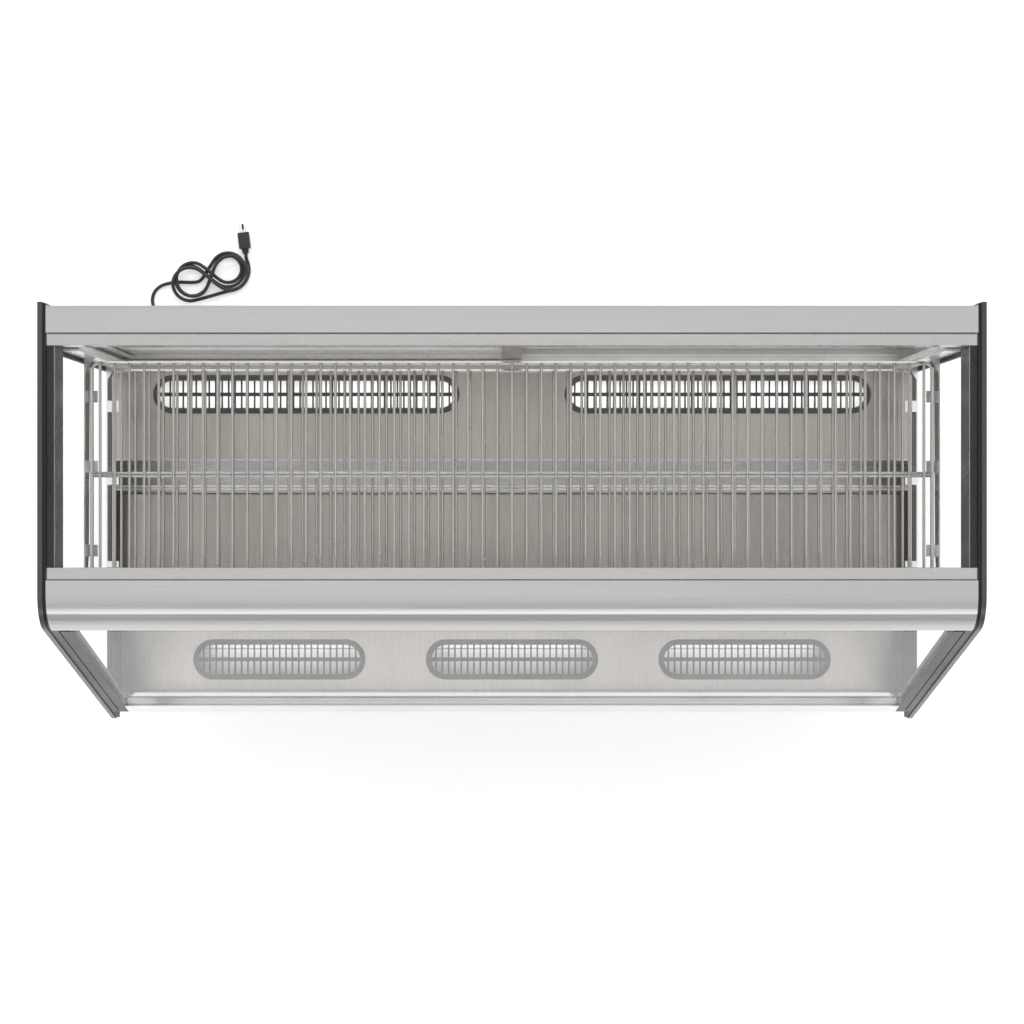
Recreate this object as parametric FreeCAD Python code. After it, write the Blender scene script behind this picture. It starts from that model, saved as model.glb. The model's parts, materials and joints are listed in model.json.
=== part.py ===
import FreeCAD, Part
import math
import os

# Floor-standing refrigerated deli case. Millimetres, +Z up, -Y is the customer's side.
# The origin is on the floor, under the middle of the case without its cord.

V = FreeCAD.Vector

# ---- Driving dimensions -------------------------------------------------------------------
case_width = 1524.0
case_depth = 731.0
case_height = 1270.0

slant_deg = 18.2          # lean of the front glass from vertical
bull_radius = 61.6        # rounded front edge of the top
foot_radius = 10.0        # rounded lower front corner of an end frame
frame_foot_z = 601.0      # underside of the end frames
trim_thick = 8.1
core_thick = 5.5
core_recess = 2.0         # the dark core stands back from the trim's outline
member_top = 62.0         # widths of the end frame's members
member_slant = 46.0
member_rear = 65.0
member_sill = 18.0        # above the frames' underside
core_reveal = 8.0         # how far the core shows inside the trim's window

side_rail_x = 12.4        # width of the side channel's upper rail
side_rail_drop = 77.0
channel_band = 29.4       # width of the slanted side channel
channel_depth = 14.0
hinge_boss_depth = 20.0   # the channel is deeper round the hinge socket
hinge_boss_high = 30.0
gasket_width = 5.0
gasket_thick = 2.7
glass_thick = 6.0
glass_gap = 0.5

rear_rail_width = 63.3
rear_rail_setback = 6.3
rail_drop = 50.0
rail_wall = 3.0
ledge_width = 19.0
ledge_drop = 6.5
front_rail_flat = 42.9    # flat top of the front rail, back from the rounded edge
lip_drop = 47.5
front_glass_drop = 53.5
front_glass_foot = 547.0  # depth, below the top, of the lower trim's upper edge

rear_deck_z = 736.0
front_deck_z = 639.0
deck_half_inset = 22.0    # liner wall to the case's side
deck_sheet = 1.5
step_top_from_rear = 241.6
step_run = 59.5
deck_joint = 3.0
liner_wall = 2.0
liner_floor_z = 552.0
sill_wall_y = 56.5        # front deck's front edge, back from the case's front
tub_bottom_z = 510.0
tub_front_wall = 19.0
front_panel_thick = 12.0
panel_bottom_z = 112.0
base_setback = 34.0       # the service panel stands in from the case's back

vent_pitch = 12.0
vent_bar = 3.2
vent_rib = 7.0
ring_width = 10.3
ring_lap = 3.0
ring_high = 2.0
rear_vent_height = 71.0
rear_vent_from_rear = 120.1   # case's back to the vents' centre line
rear_vent_mid_land = 194.0
rear_vent_end_land = 77.0
front_vent_height = 76.0
front_vent_from_front = 114.4 # case's front to the vents' centre line
front_vent_mid_land = 114.0
front_vent_end_land = 137.0

slot_pitch = 40.8
slot_first = 26.0         # lowest slot above the rear deck
slot_height = 14.0
slot_width = 4.0
pilaster_width = 38.0
pilaster_from_rear = 73.5
lower_shelf_share = 0.22
upper_shelf_share = 0.70
shelf_rod = 6.5
shelf_wire = 5.0
shelf_pitch = 25.0
shelf_corner = 12.0
shelf_bar = 4.7
wire_sink = 0.6           # how far the welded wires sink into the rods
shelf_side_gap = 47.0     # case side to the centre line of the shelf's side rod
shelf_rear_gap = 11.0
shelf_front_set = (150.0, 122.0)
shelf_bar_set = (210.0, 189.5)
bracket_thick = 2.5
bracket_high = 40.0

door_thick = 16.0
door_inner_from_rear = 55.5
door_gap = 2.5
door_overlap = 35.0
door_stile = 28.0
door_rail = 24.0
door_glass_thick = 5.0
jamb_tuck = 13.0
jamb_front = 33.4
track_rib = 3.0
track_rib_high = 6.0

hinge_pin_r = 4.0
hinge_fit = 0.05
clamp_inner_high = 22.0

fan_radius = 60.0
fan_hub_r = 17.0
fan_shaft_r = 3.0
shaft_fit = 0.06
evap_fan_x = 200.0

cord_d = 7.6
foot_in = 122.0           # feet, in from the case's sides
foot_back = 100.5         # and from its front and back

# ---- Derived places -----------------------------------------------------------------------
half_w = case_width / 2
rear_y = case_depth / 2
front_y = -rear_y
top_z = case_height
lean = math.radians(slant_deg)
trim_in = half_w - trim_thick
plate_in = trim_in - core_thick
rail_in = plate_in - side_rail_x
channel_in = plate_in - channel_band
gasket_in = channel_in - gasket_width
foot_centre_y = front_y + foot_radius
foot_centre_z = frame_foot_z + foot_radius


def slant_y(z, inward=0.0):
    """Y of the front glass plane at height z, or of a plane set back inward from it."""
    foot_line = foot_centre_y - foot_radius / math.cos(lean)
    return foot_line + (z - foot_centre_z) * math.tan(lean) + inward / math.cos(lean)


bull_y = slant_y(top_z - bull_radius) + bull_radius / math.cos(lean)
front_rail_in_y = bull_y + front_rail_flat
rear_rail_y = rear_y - rear_rail_setback
rear_rail_in_y = rear_rail_y - rear_rail_width
liner_in = half_w - deck_half_inset
sill_y = front_y + sill_wall_y
tub_front_y = sill_y - liner_wall - tub_front_wall
front_panel_y = tub_front_y - front_panel_thick
step_top_y = rear_y - step_top_from_rear
step_foot_y = step_top_y - step_run
pilaster_y = rear_y - pilaster_from_rear
pilaster_x = half_w - 15.0 - pilaster_width / 2
door_inner_y = rear_y - door_inner_from_rear
door_outer_y = door_inner_y + door_thick + door_gap
track_y = door_inner_y - 4.0
track_z = rear_deck_z - track_rib_high
jamb_in = plate_in - jamb_front
door_head_z = top_z - 95.0
tub_rear_y = rear_rail_y
base_rear_y = rear_y - base_setback
glass_line_z = top_z - front_glass_foot


# ---- Small helpers ------------------------------------------------------------------------
def box(x0, x1, y0, y1, z0, z1):
    return Part.makeBox(x1 - x0, y1 - y0, z1 - z0, V(x0, y0, z0))


def rod(radius, start, end):
    a = V(*start)
    along = V(*end) - a
    return Part.makeCylinder(radius, along.Length, a, along)


def yz_prism(points, x0, x1):
    """Straight-sided outline of (y, z) points, as a solid from x0 to x1."""
    corners = [V(x0, y, z) for y, z in points]
    face = Part.Face(Part.makePolygon(corners + corners[:1]))
    return face.extrude(V(x1 - x0, 0, 0))


def stadium(length, height, centre_x, centre_y, z0, z1):
    """Slot-shaped plate with round ends, long along X."""
    r = height / 2
    run = length / 2 - r
    body = box(centre_x - run, centre_x + run, centre_y - r, centre_y + r, z0, z1)
    ends = [Part.makeCylinder(r, z1 - z0, V(centre_x + s * run, centre_y, z0)) for s in (-1, 1)]
    return body.multiFuse(ends).removeSplitter()


def mirror(shape):
    return shape.mirror(V(0, 0, 0), V(1, 0, 0))


def fuse(shapes):
    first, *rest = shapes
    return first.multiFuse(rest).removeSplitter() if rest else first


def group(shapes):
    return Part.makeCompound(shapes)


def slant_block(u0, u1, v0, v1, x0, x1):
    """Block that follows the glass plane: u is height in z, v is depth in from the plane."""
    rise, run = math.cos(lean), math.sin(lean)

    def point(u, v):
        y = slant_y(u)
        return y + v * rise, u - v * run

    return yz_prism([point(u0, v0), point(u1, v0), point(u1, v1), point(u0, v1)], x0, x1)


# ---- End frames ---------------------------------------------------------------------------
def end_outline(inset, x0, x1):
    """Side of the case: flat top, rounded front edge, slanted front, rounded lower corner."""
    top = top_z - inset
    bottom = frame_foot_z + inset
    back = rear_y - inset
    big = bull_radius - inset
    small = foot_radius - inset
    bull_z = top_z - bull_radius
    out = (-math.cos(lean), math.sin(lean))
    half_big = (math.pi / 2 - lean) / 2
    mid_big = math.pi / 2 - half_big
    a = V(x0, back, top)
    b = V(x0, bull_y, top)
    bc = V(x0, bull_y - big * math.cos(mid_big), bull_z + big * math.sin(mid_big))
    c = V(x0, bull_y + big * out[0], bull_z + big * out[1])
    d = V(x0, foot_centre_y + small * out[0], foot_centre_z + small * out[1])
    de = V(x0, foot_centre_y - small * math.cos(math.pi / 4), foot_centre_z - small * math.sin(math.pi / 4))
    e = V(x0, foot_centre_y, bottom)
    f = V(x0, back, bottom)
    edges = [Part.LineSegment(a, b).toShape(), Part.Arc(b, bc, c).toShape(), Part.LineSegment(c, d).toShape(),
             Part.Arc(d, de, e).toShape(), Part.LineSegment(e, f).toShape(), Part.LineSegment(f, a).toShape()]
    return Part.Face(Part.Wire(edges)).extrude(V(x1 - x0, 0, 0))


def end_window(reveal, x0, x1):
    """Opening that the end glass fills, smaller by reveal on each side."""
    low = frame_foot_z + member_sill + reveal
    high = top_z - member_top - reveal
    back = rear_y - member_rear - reveal
    inward = member_slant + reveal
    return yz_prism([(slant_y(low, inward), low), (slant_y(high, inward), high), (back, high), (back, low)], x0, x1)


def end_trim():
    return end_outline(0, trim_in, half_w).cut(end_window(0, trim_in - 1, half_w + 1))


def end_frame():
    return end_outline(core_recess, plate_in, trim_in).cut(end_window(core_reveal, plate_in - 1, trim_in + 1))


def side_channel():
    """Inner profile along the top and down the slanted front, with the end glass groove and the hinge socket."""
    rail_low = top_z - side_rail_drop
    lip_z = top_z - lip_drop
    upper = box(rail_in, plate_in, front_rail_in_y, rear_rail_in_y, rail_low, top_z - ledge_drop)
    under = yz_prism([(slant_y(lip_z), lip_z), (front_rail_in_y, lip_z), (front_rail_in_y, rail_low),
                      (slant_y(rail_low), rail_low)], rail_in, plate_in)
    band = slant_block(hinge_z - 11.5, lip_z - 6.5, 0, channel_depth, channel_in, plate_in)
    boss = slant_block(hinge_z - 11.5, hinge_z + hinge_boss_high, 0, hinge_boss_depth, channel_in, plate_in)
    seat = slant_block(hinge_z + 62.0, lip_z - 16.0, glass_thick + 3.0, channel_depth, gasket_in, channel_in)
    groove = slant_block(hinge_z, lip_z, -1, 2.0, rail_in + 0.5, rail_in + 2.5)
    body = fuse([upper, under, band, boss, seat]).cut(groove)
    glass_slot = end_pane(0.5, 0.5)
    socket = rod(hinge_pin_r + hinge_fit, (channel_in - 1, hinge_y, hinge_z), (channel_in + 8, hinge_y, hinge_z))
    return body.cut(glass_slot).cut(socket)


def end_pane(extra, side):
    """End glass; extra and side enlarge it to cut its groove."""
    low = rear_deck_z + 1.0
    high = top_z - side_rail_drop + 6.0 + extra
    back = pilaster_y - 0.5
    x0 = rail_in + 4.0 - side
    x1 = rail_in + 4.0 + glass_thick + side
    front = channel_depth - 5.0 - extra
    return yz_prism([(slant_y(low, front), low), (slant_y(high, front), high), (back, high), (back, low)], x0, x1)


def front_gasket():
    return slant_block(hinge_z + 62.0, top_z - lip_drop - 16.0, glass_thick + 0.3, glass_thick + 0.3 + gasket_thick,
                       gasket_in, channel_in)


# ---- Top rails and top glass --------------------------------------------------------------
def rear_top_rail():
    seam = 1.0
    outer = box(-plate_in, plate_in, rear_rail_in_y, rear_rail_y, top_z - rail_drop, top_z)
    ledge = box(-plate_in, plate_in, rear_rail_in_y - 1, rear_rail_in_y + ledge_width + seam, top_z - ledge_drop, top_z + 1)
    inner = box(-plate_in, plate_in, rear_rail_in_y + rail_wall, rear_rail_y - rail_wall,
                top_z - rail_drop + rail_wall, top_z - ledge_drop - rail_wall)
    edge_groove = box(-plate_in, plate_in, rear_rail_y - 3.4, rear_rail_y - 2.2, top_z - 1.2, top_z + 1)
    return outer.cut(ledge).cut(inner).cut(edge_groove)


def bull_point(angle, radius, x):
    return V(x, bull_y - radius * math.sin(angle), top_z - bull_radius + radius * math.cos(angle))


def rounded_rail(radius, top, back_y, low, x0, x1):
    """Rail section: flat top, rounded edge down to the glass plane, short lip, flat underside."""
    end = math.pi / 2 - lean
    set_in = bull_radius - radius
    a = V(x0, back_y, top)
    b = V(x0, bull_y, top)
    c = bull_point(end, radius, x0)
    d = V(x0, slant_y(low, set_in), low)
    e = V(x0, back_y, low)
    edges = [Part.LineSegment(a, b).toShape(), Part.Arc(b, bull_point(end / 2, radius, x0), c).toShape(),
             Part.LineSegment(c, d).toShape(), Part.LineSegment(d, e).toShape(), Part.LineSegment(e, a).toShape()]
    return Part.Face(Part.Wire(edges)).extrude(V(x1 - x0, 0, 0))


def front_top_rail():
    seam = 1.0
    low = top_z - lip_drop
    outer = rounded_rail(bull_radius, top_z, front_rail_in_y, low, -plate_in, plate_in)
    inner = rounded_rail(bull_radius - rail_wall, top_z - rail_wall, front_rail_in_y - ledge_width - seam - rail_wall,
                         low + rail_wall, -plate_in, plate_in)
    ledge = box(-plate_in, plate_in, front_rail_in_y - ledge_width - seam, front_rail_in_y + 1,
                top_z - ledge_drop, top_z + 1)
    body = outer.cut(inner).cut(ledge)
    for degrees in (31.6, 51.5):
        mark = bull_point(math.radians(degrees), bull_radius, -plate_in)
        body = body.cut(Part.makeCylinder(0.7, 2 * plate_in, mark, V(1, 0, 0)))
    return body


def top_glass():
    reach = plate_in - 1.0
    return box(-reach, reach, front_rail_in_y - ledge_width, rear_rail_in_y + ledge_width,
               top_z - ledge_drop, top_z - glass_gap)


def light_bar():
    y = front_rail_in_y - 6.0
    z = top_z - lip_drop
    length = 2 * (rail_in - 36.0)
    return box(-length / 2, length / 2, y - 30.0, y, z - 14.0, z)


def light_diffuser():
    y = front_rail_in_y - 10.0
    z = top_z - lip_drop - 14.0
    length = 2 * (rail_in - 40.0)
    lens = rod(11.0, (-length / 2, y - 11.0, z), (length / 2, y - 11.0, z))
    return lens.common(box(-length, length, y - 40, y + 20, z - 6.0, z))


# ---- Front glass, its lower clamp and the sill --------------------------------------------
hinge_z = glass_line_z - 43.0
hinge_y = slant_y(hinge_z) + 9.0 / math.cos(lean)


def front_glass():
    reach = channel_in - glass_gap
    return slant_block(hinge_z + 7.0, top_z - front_glass_drop, 0, glass_thick, -reach, reach)


def front_glass_clamp():
    """Lower profile that grips the front glass and turns on a pin at each end."""
    reach = channel_in - 1.0
    outer_leg = slant_block(hinge_z - 5.0, glass_line_z, -2.5, 0, -reach, reach)
    floor_part = slant_block(hinge_z - 5.0, hinge_z + 7.0, 0, 18.0, -reach, reach)
    inner_leg = slant_block(hinge_z + 7.0, hinge_z + clamp_inner_high, glass_thick, 18.0, -reach, reach)
    body = fuse([outer_leg, floor_part, inner_leg])
    top = hinge_z + clamp_inner_high
    groove = slant_block(top - 1.5, top + 1.0, 10.0, 11.2, -reach - 1, reach + 1)
    pins = [rod(hinge_pin_r, (s * (reach - 2), hinge_y, hinge_z), (s * (reach + 7), hinge_y, hinge_z)) for s in (-1, 1)]
    return fuse([body.cut(groove)] + pins)


def front_sill():
    """Upstand that closes the front deck against the glass clamp."""
    top = hinge_z + 18.0
    wall = box(-liner_in + 1, liner_in - 1, sill_y - 3.0, sill_y, front_deck_z - 30.0, top)
    cap = box(-liner_in + 24, liner_in - 24, sill_y - 6.5, sill_y - 3.0, top - 3.0, top)
    return fuse([wall, cap])


def nose_trim():
    top = hinge_z - 17.0
    reach = channel_in - glass_gap
    face = box(-reach, reach, front_panel_y - 1.0, front_panel_y, top - 26.0, top)
    shelf = box(-reach, reach, front_panel_y, sill_y - 3.0 - liner_wall, top - 2.0, top)
    return fuse([face, shelf])


# ---- Rear sliding doors -------------------------------------------------------------------
def door_track_lower():
    base = box(-plate_in, plate_in, track_y, rear_rail_y, track_z - 16.0, track_z)
    lip = box(-plate_in, plate_in, track_y, track_y + 2.0, track_z, rear_deck_z + 1.0)
    ribs = [box(-jamb_in, jamb_in, y - track_rib / 2, y + track_rib / 2, track_z, track_z + track_rib_high)
            for y in door_centres()]
    return fuse([base, lip] + ribs)


def door_centres():
    return [door_inner_y + door_thick / 2, door_outer_y + door_thick / 2]


def door_track_upper():
    head = top_z - rail_drop
    base = box(-plate_in, plate_in, track_y, rear_rail_y, head - 6.0, head)
    skirts = [box(-plate_in, plate_in, track_y, track_y + 2.0, door_head_z - 4.0, head - 6.0),
              box(-plate_in, plate_in, rear_rail_y - 2.0, rear_rail_y, door_head_z - 4.0, head - 6.0)]
    middle = door_outer_y - door_gap / 2
    skirts.append(box(-plate_in, plate_in, middle - 0.6, middle + 0.6, door_head_z + 4.0, head - 6.0))
    return fuse([base] + skirts)


def door_jamb():
    """Channel that the closed door's edge goes into."""
    web = box(plate_in - 4.0, plate_in, track_y + 2.0, rear_rail_y, track_z, door_head_z - 4.0)
    front = box(jamb_in, plate_in - 4.0, track_y + 2.0 - 4.0, track_y + 2.6, rear_deck_z + 1.0, door_head_z - 4.0)
    back = box(jamb_in + 8.0, plate_in - 4.0, rear_rail_y - 3.0, rear_rail_y, track_z, door_head_z - 4.0)
    fill = box(plate_in - 4.0, plate_in, track_y - 2.0, track_y + 2.0, rear_deck_z + 1.0, door_head_z - 4.0)
    return fuse([web, front, back, fill])


def door_span():
    """Closed left door, from its tucked edge to the meeting stile's far edge."""
    return -(jamb_in + jamb_tuck), door_overlap / 2


def door_frame(y0):
    x0, x1 = door_span()
    low = track_z + 1.0
    high = door_head_z + 16.0
    outer = box(x0, x1, y0, y0 + door_thick, low, high)
    opening = box(x0 + door_stile, x1 - door_overlap, y0 - 1, y0 + door_thick + 1,
                  low + door_rail, high - door_rail - 12.0)
    centre = y0 + door_thick / 2
    glass_slot = door_pane(y0)
    rib_slot = box(x0 - 1, x1 + 1, centre - 2.5, centre + 2.5, low - 1, track_z + track_rib_high + 1.0)
    body = outer.cut(opening).cut(glass_slot).cut(rib_slot)
    grip_z = rear_deck_z + 250.0
    grip = box(x0 + door_stile - 15.0, x0 + door_stile - 7.0, y0 + door_thick - 5.0, y0 + door_thick + 1,
               grip_z - 60.0, grip_z + 60.0)
    return body.cut(grip)


def door_pane(y0):
    x0, x1 = door_span()
    centre = y0 + door_thick / 2
    half = door_glass_thick / 2
    return box(x0 + door_stile - 6.0, x1 - door_overlap + 6.0, centre - half, centre + half,
               track_z + 1.0 + door_rail - 6.0, door_head_z + 4.0 - door_rail + 6.0)


# ---- Shelving -----------------------------------------------------------------------------
def slot_heights():
    low = rear_deck_z + slot_first
    count = int((top_z - side_rail_drop - 20.0 - low) / slot_pitch) + 1
    return [low + slot_pitch * i for i in range(count)]


def shelf_slots():
    """Index of the upper hook's slot for the lower and the upper shelf."""
    last = len(slot_heights()) - 1
    return [max(2, round(last * lower_shelf_share)), round(last * upper_shelf_share)]


def pilaster():
    x0 = pilaster_x - pilaster_width / 2
    x1 = pilaster_x + pilaster_width / 2
    low = rear_deck_z + 1.5
    high = top_z - side_rail_drop - 3.0
    face = box(x0, x1, pilaster_y, pilaster_y + 4.0, low, high)
    side = [box(x, x + 2.5, pilaster_y + 4.0, track_y - 2.5, low, high) for x in (x0, x1 - 2.5)]
    slots = [box(pilaster_x - slot_width / 2, pilaster_x + slot_width / 2, pilaster_y - 1, pilaster_y + 5,
                 z - slot_height / 2, z + slot_height / 2) for z in slot_heights()]
    return fuse([face] + side).cut(group(slots))


def shelf_bracket(level):
    """Arm with two hooks in the pilaster, tabs that carry the shelf and a stop at its front end."""
    top = slot_heights()[shelf_slots()[level]] + 6.0
    front = shelf_front(level) - 8.0
    x0 = pilaster_x - bracket_thick / 2
    x1 = x0 + bracket_thick
    arm = yz_prism([(pilaster_y, top), (pilaster_y, top - bracket_high - 14.0), (pilaster_y - 40.0, top - bracket_high),
                    (front + 60.0, top - bracket_high + 8.0), (front, top - 16.0), (front, top + 7.0),
                    (front + 3.0, top + 7.0), (front + 3.0, top)], x0, x1)
    inner = pilaster_x - 22.0
    solids = [arm]
    span = pilaster_y - front
    cuts = []
    for share in (0.17, 0.47, 0.83):
        y = pilaster_y - span * share
        solids.append(box(inner, x0, y - 10.0, y + 10.0, top - bracket_thick, top))
        cuts.append(box(x0 - 1, x1 + 1, y - 10.0, y + 10.0, top - 20.0, top - 8.0))
    gusset = Part.Face(Part.makePolygon([V(x0, pilaster_y, top - bracket_thick), V(inner + 4, pilaster_y, top - bracket_thick),
                                         V(x0, pilaster_y - 26.0, top - bracket_thick), V(x0, pilaster_y, top - bracket_thick)]))
    solids.append(gusset.extrude(V(0, 0, bracket_thick)))
    body = fuse(solids).cut(group(cuts))
    hooks = []
    for step in (0, -1):
        z = top - 6.0 + slot_pitch * step
        if z < top - bracket_high - 10.0:
            continue
        hooks.append(box(x0, x1, pilaster_y, pilaster_y + 6.8, z - 3.0, z + 5.0))
        hooks.append(box(x0, x1, pilaster_y + 4.4, pilaster_y + 6.8, z - 12.0, z - 3.0))
    return fuse([body] + hooks)


def shelf_front(level):
    return slant_y(shelf_plane(level)) + shelf_front_set[level]


def shelf_plane(level):
    """Height of the shelf's frame rods, just clear of the bracket's tabs."""
    return slot_heights()[shelf_slots()[level]] + 6.0 + 0.2 + shelf_rod / 2


def shelf_frame(x1, y0, y1, z):
    """Rod bent into a rectangle with round corners."""
    r = shelf_rod / 2
    c = shelf_corner
    sides = [rod(r, (-x1 + c, y, z), (x1 - c, y, z)) for y in (y0, y1)]
    sides += [rod(r, (x, y0 + c, z), (x, y1 - c, z)) for x in (-x1, x1)]
    bends = []
    for sx, sy, turn in ((1, 1, 0), (-1, 1, 90), (-1, -1, 180), (1, -1, 270)):
        bend = Part.makeTorus(c, r, V(0, 0, 0), V(0, 0, 1), -180, 180, 90)
        bend.rotate(V(0, 0, 0), V(0, 0, 1), turn)
        bend.translate(V(sx * (x1 - c), (y1 - c) if sy > 0 else (y0 + c), z))
        bends.append(bend)
    return sides[0].multiFuse(sides[1:] + bends)


def shelf(level):
    """Frame rod, a pair of cross bars and the close wires laid over them."""
    z = shelf_plane(level)
    x1 = half_w - shelf_side_gap
    y1 = pilaster_y - shelf_rear_gap
    y0 = shelf_front(level)
    frame = shelf_frame(x1, y0, y1, z)
    wire_r = shelf_wire / 2
    wire_z = z + shelf_rod / 2 + wire_r - wire_sink
    count = int((x1 - shelf_corner) / shelf_pitch)
    wires = [rod(wire_r, (i * shelf_pitch, y0 - 1.0, wire_z), (i * shelf_pitch, y1 + 1.0, wire_z))
             for i in range(-count, count + 1)]
    bar_y = y1 - shelf_bar_set[level]
    bar_z = wire_z - wire_r - shelf_bar / 2 + wire_sink
    bars = [rod(shelf_bar / 2, (-x1, bar_y + s * (shelf_bar / 2 + 0.15), bar_z),
                (x1, bar_y + s * (shelf_bar / 2 + 0.15), bar_z)) for s in (-1, 1)]
    return frame.multiFuse(bars + wires)


# ---- Decks and vents ----------------------------------------------------------------------
def rear_vents():
    span = 2 * liner_in - rear_vent_mid_land - 2 * rear_vent_end_land
    length = span / 2
    x = rear_vent_mid_land / 2 + length / 2
    y = rear_y - rear_vent_from_rear
    return [(sx * x, y, rear_deck_z, length, rear_vent_height) for sx in (-1, 1)]


def front_vents():
    span = 2 * liner_in - 2 * front_vent_mid_land - 2 * front_vent_end_land
    length = span / 3
    y = front_y + front_vent_from_front
    return [(i * (length + front_vent_mid_land), y, front_deck_z, length, front_vent_height) for i in (-1, 0, 1)]


def vent_hole(vent):
    x, y, z, length, height = vent
    return stadium(length - 2 * ring_lap, height - 2 * ring_lap, x, y, z - 10, z + 10)


def rear_deck():
    """Sheet over the coil: flat top and a slope down towards the front deck."""
    edge = liner_in - 1.0
    t = deck_sheet
    back = track_y - 0.5
    flat = box(-edge, edge, step_top_y, back, rear_deck_z - t, rear_deck_z)
    drop = rear_deck_z - front_deck_z - 3.0
    slope = yz_prism([(step_top_y, rear_deck_z), (step_top_y - step_run, rear_deck_z - drop),
                      (step_top_y - step_run + t * 1.2, rear_deck_z - drop), (step_top_y + t * 1.2, rear_deck_z - t),
                      (step_top_y + t * 1.2, rear_deck_z)], -edge, edge)
    body = fuse([flat, slope])
    for vent in rear_vents():
        body = body.cut(vent_hole(vent))
    return body


def front_deck():
    edge = liner_in - 1.0
    back = step_foot_y - deck_joint
    front = sill_y + 0.5
    skirt = box(-edge, edge, front, front + deck_sheet, front_deck_z - 20.0, front_deck_z)
    body = fuse([box(-edge, edge, front, back, front_deck_z - deck_sheet, front_deck_z), skirt])
    for vent in front_vents():
        body = body.cut(vent_hole(vent))
    return body


def vent_ring(vent):
    x, y, z, length, height = vent
    inner = stadium(length - 2 * (ring_width + ring_lap) + 6.0, height - 2 * ring_width, x, y, z - 5, z + 5)
    flange = stadium(length, height, x, y, z, z + ring_high)
    neck = stadium(length - 2 * ring_lap - 0.6, height - 2 * ring_lap - 0.6, x, y, z - 2.0, z)
    return fuse([flange, neck]).cut(inner)


def vent_grille(vent):
    """Plate of upright bars with one rib along the middle, held under its ring."""
    x, y, z, length, height = vent
    long_in = length - 2 * (ring_width + ring_lap) + 6.0
    high_in = height - 2 * ring_width
    plate = stadium(length - 2 * ring_lap - 1.0, height - 2 * ring_lap - 1.0, x, y, z - 4.0, z - 2.0)
    area = stadium(long_in, high_in, x, y, z - 6, z)
    count = int(long_in / 2 / vent_pitch) + 1
    holes = []
    for i in range(-count, count):
        x0 = x + i * vent_pitch + vent_bar / 2
        for y0, y1 in ((y - high_in, y - vent_rib / 2), (y + vent_rib / 2, y + high_in)):
            holes.append(box(x0, x0 + vent_pitch - vent_bar, y0, y1, z - 6, z))
    return plate.cut(area.common(group(holes)))


# ---- Tub and cooling ----------------------------------------------------------------------
def tub_liner():
    outer = box(-liner_in - liner_wall, liner_in + liner_wall, sill_y - 3.0 - liner_wall, track_y - 0.5,
                liner_floor_z, rear_deck_z)
    inner = box(-liner_in, liner_in, sill_y - 3.0, track_y - 0.5 - liner_wall, liner_floor_z + liner_wall, rear_deck_z + 1)
    front_cut = box(-liner_in - 5, liner_in + 5, sill_y - 10.0, sill_y - 3.0, front_deck_z - 2.0, rear_deck_z + 1)
    rear_cut = box(-liner_in, liner_in, pilaster_y, track_y + 1, rear_deck_z - deck_sheet, rear_deck_z + 1)
    lean_cut = slant_block(front_deck_z - 2.0, rear_deck_z + 60.0, -20.0, hinge_boss_depth + 1.0, -plate_in, plate_in)
    return outer.cut(inner).cut(front_cut).cut(rear_cut).cut(lean_cut)


def tub_shell():
    low = nose_level() - 2.5
    body = box(-plate_in, plate_in, tub_front_y, tub_rear_y, tub_bottom_z, low)
    rear_wall = box(-plate_in, plate_in, track_y, tub_rear_y, low, track_z - 16.0)
    hollow = box(-liner_in - liner_wall, liner_in + liner_wall, sill_y - 3.0 - liner_wall, track_y - 0.5,
                 liner_floor_z, rear_deck_z)
    return fuse([body, rear_wall]).cut(hollow)


def nose_level():
    return hinge_z - 17.0


def evaporator_coil():
    """Finned block with tube bends at its ends."""
    y0 = step_top_y + 40.0
    y1 = y0 + 110.0
    z0 = liner_floor_z + liner_wall + 14.0
    z1 = z0 + 90.0
    reach = 420.0
    fins = [box(-reach + i * 60.0, -reach + i * 60.0 + 1.5, y0, y1, z0, z1) for i in range(15)]
    tubes = []
    for row in range(3):
        for level in range(3):
            y = y0 + 20.0 + row * 35.0
            z = z0 + 16.0 + level * 29.0
            tubes.append(rod(4.8, (-reach - 10, y, z), (reach + 10, y, z)))
    bends = [box(x, x + 8.0, y0 + 12.0, y1 - 12.0, z0 + 8.0, z1 - 8.0) for x in (-reach - 14, reach + 6)]
    return fins[0].multiFuse(fins[1:] + tubes + bends)


def fan_panel():
    """White cover over the coil, with an opening for each fan and struts for the motors."""
    y = step_top_y + 12.0
    top = rear_deck_z - 30.0
    floor_z = liner_floor_z + liner_wall
    reach = liner_in - 4.0
    wall = box(-reach, reach, y, y + 2.0, floor_z, top)
    roof = box(-reach, reach, y, pilaster_y - 6.0, top - 2.0, top)
    body = fuse([wall, roof])
    z = evap_fan_z()
    for sx in (-1, 1):
        body = body.cut(rod(fan_radius + 5.0, (sx * evap_fan_x, y - 5, z), (sx * evap_fan_x, y + 8, z)))
        strut = box(sx * evap_fan_x - fan_radius - 8.0, sx * evap_fan_x + fan_radius + 8.0, y + 2.0, y + 4.0, z - 7, z + 7)
        hole = rod(12.0, (sx * evap_fan_x, y - 5, z), (sx * evap_fan_x, y + 8, z))
        body = fuse([body, strut]).cut(hole)
    return body


def evap_fan_z():
    return liner_floor_z + liner_wall + fan_radius + 12.0


def fan_motors():
    y = step_top_y + 12.0
    z = evap_fan_z()
    motors = []
    for sx in (-1, 1):
        x = sx * evap_fan_x
        flange = rod(20.0, (x, y + 4.0, z), (x, y + 8.0, z))
        can = rod(16.0, (x, y + 8.0, z), (x, y + 26.0, z))
        shaft = rod(fan_shaft_r, (x, y - 13.0, z), (x, y + 8.0, z))
        motors.append(fuse([flange, can, shaft]))
    return group(motors)


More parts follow.
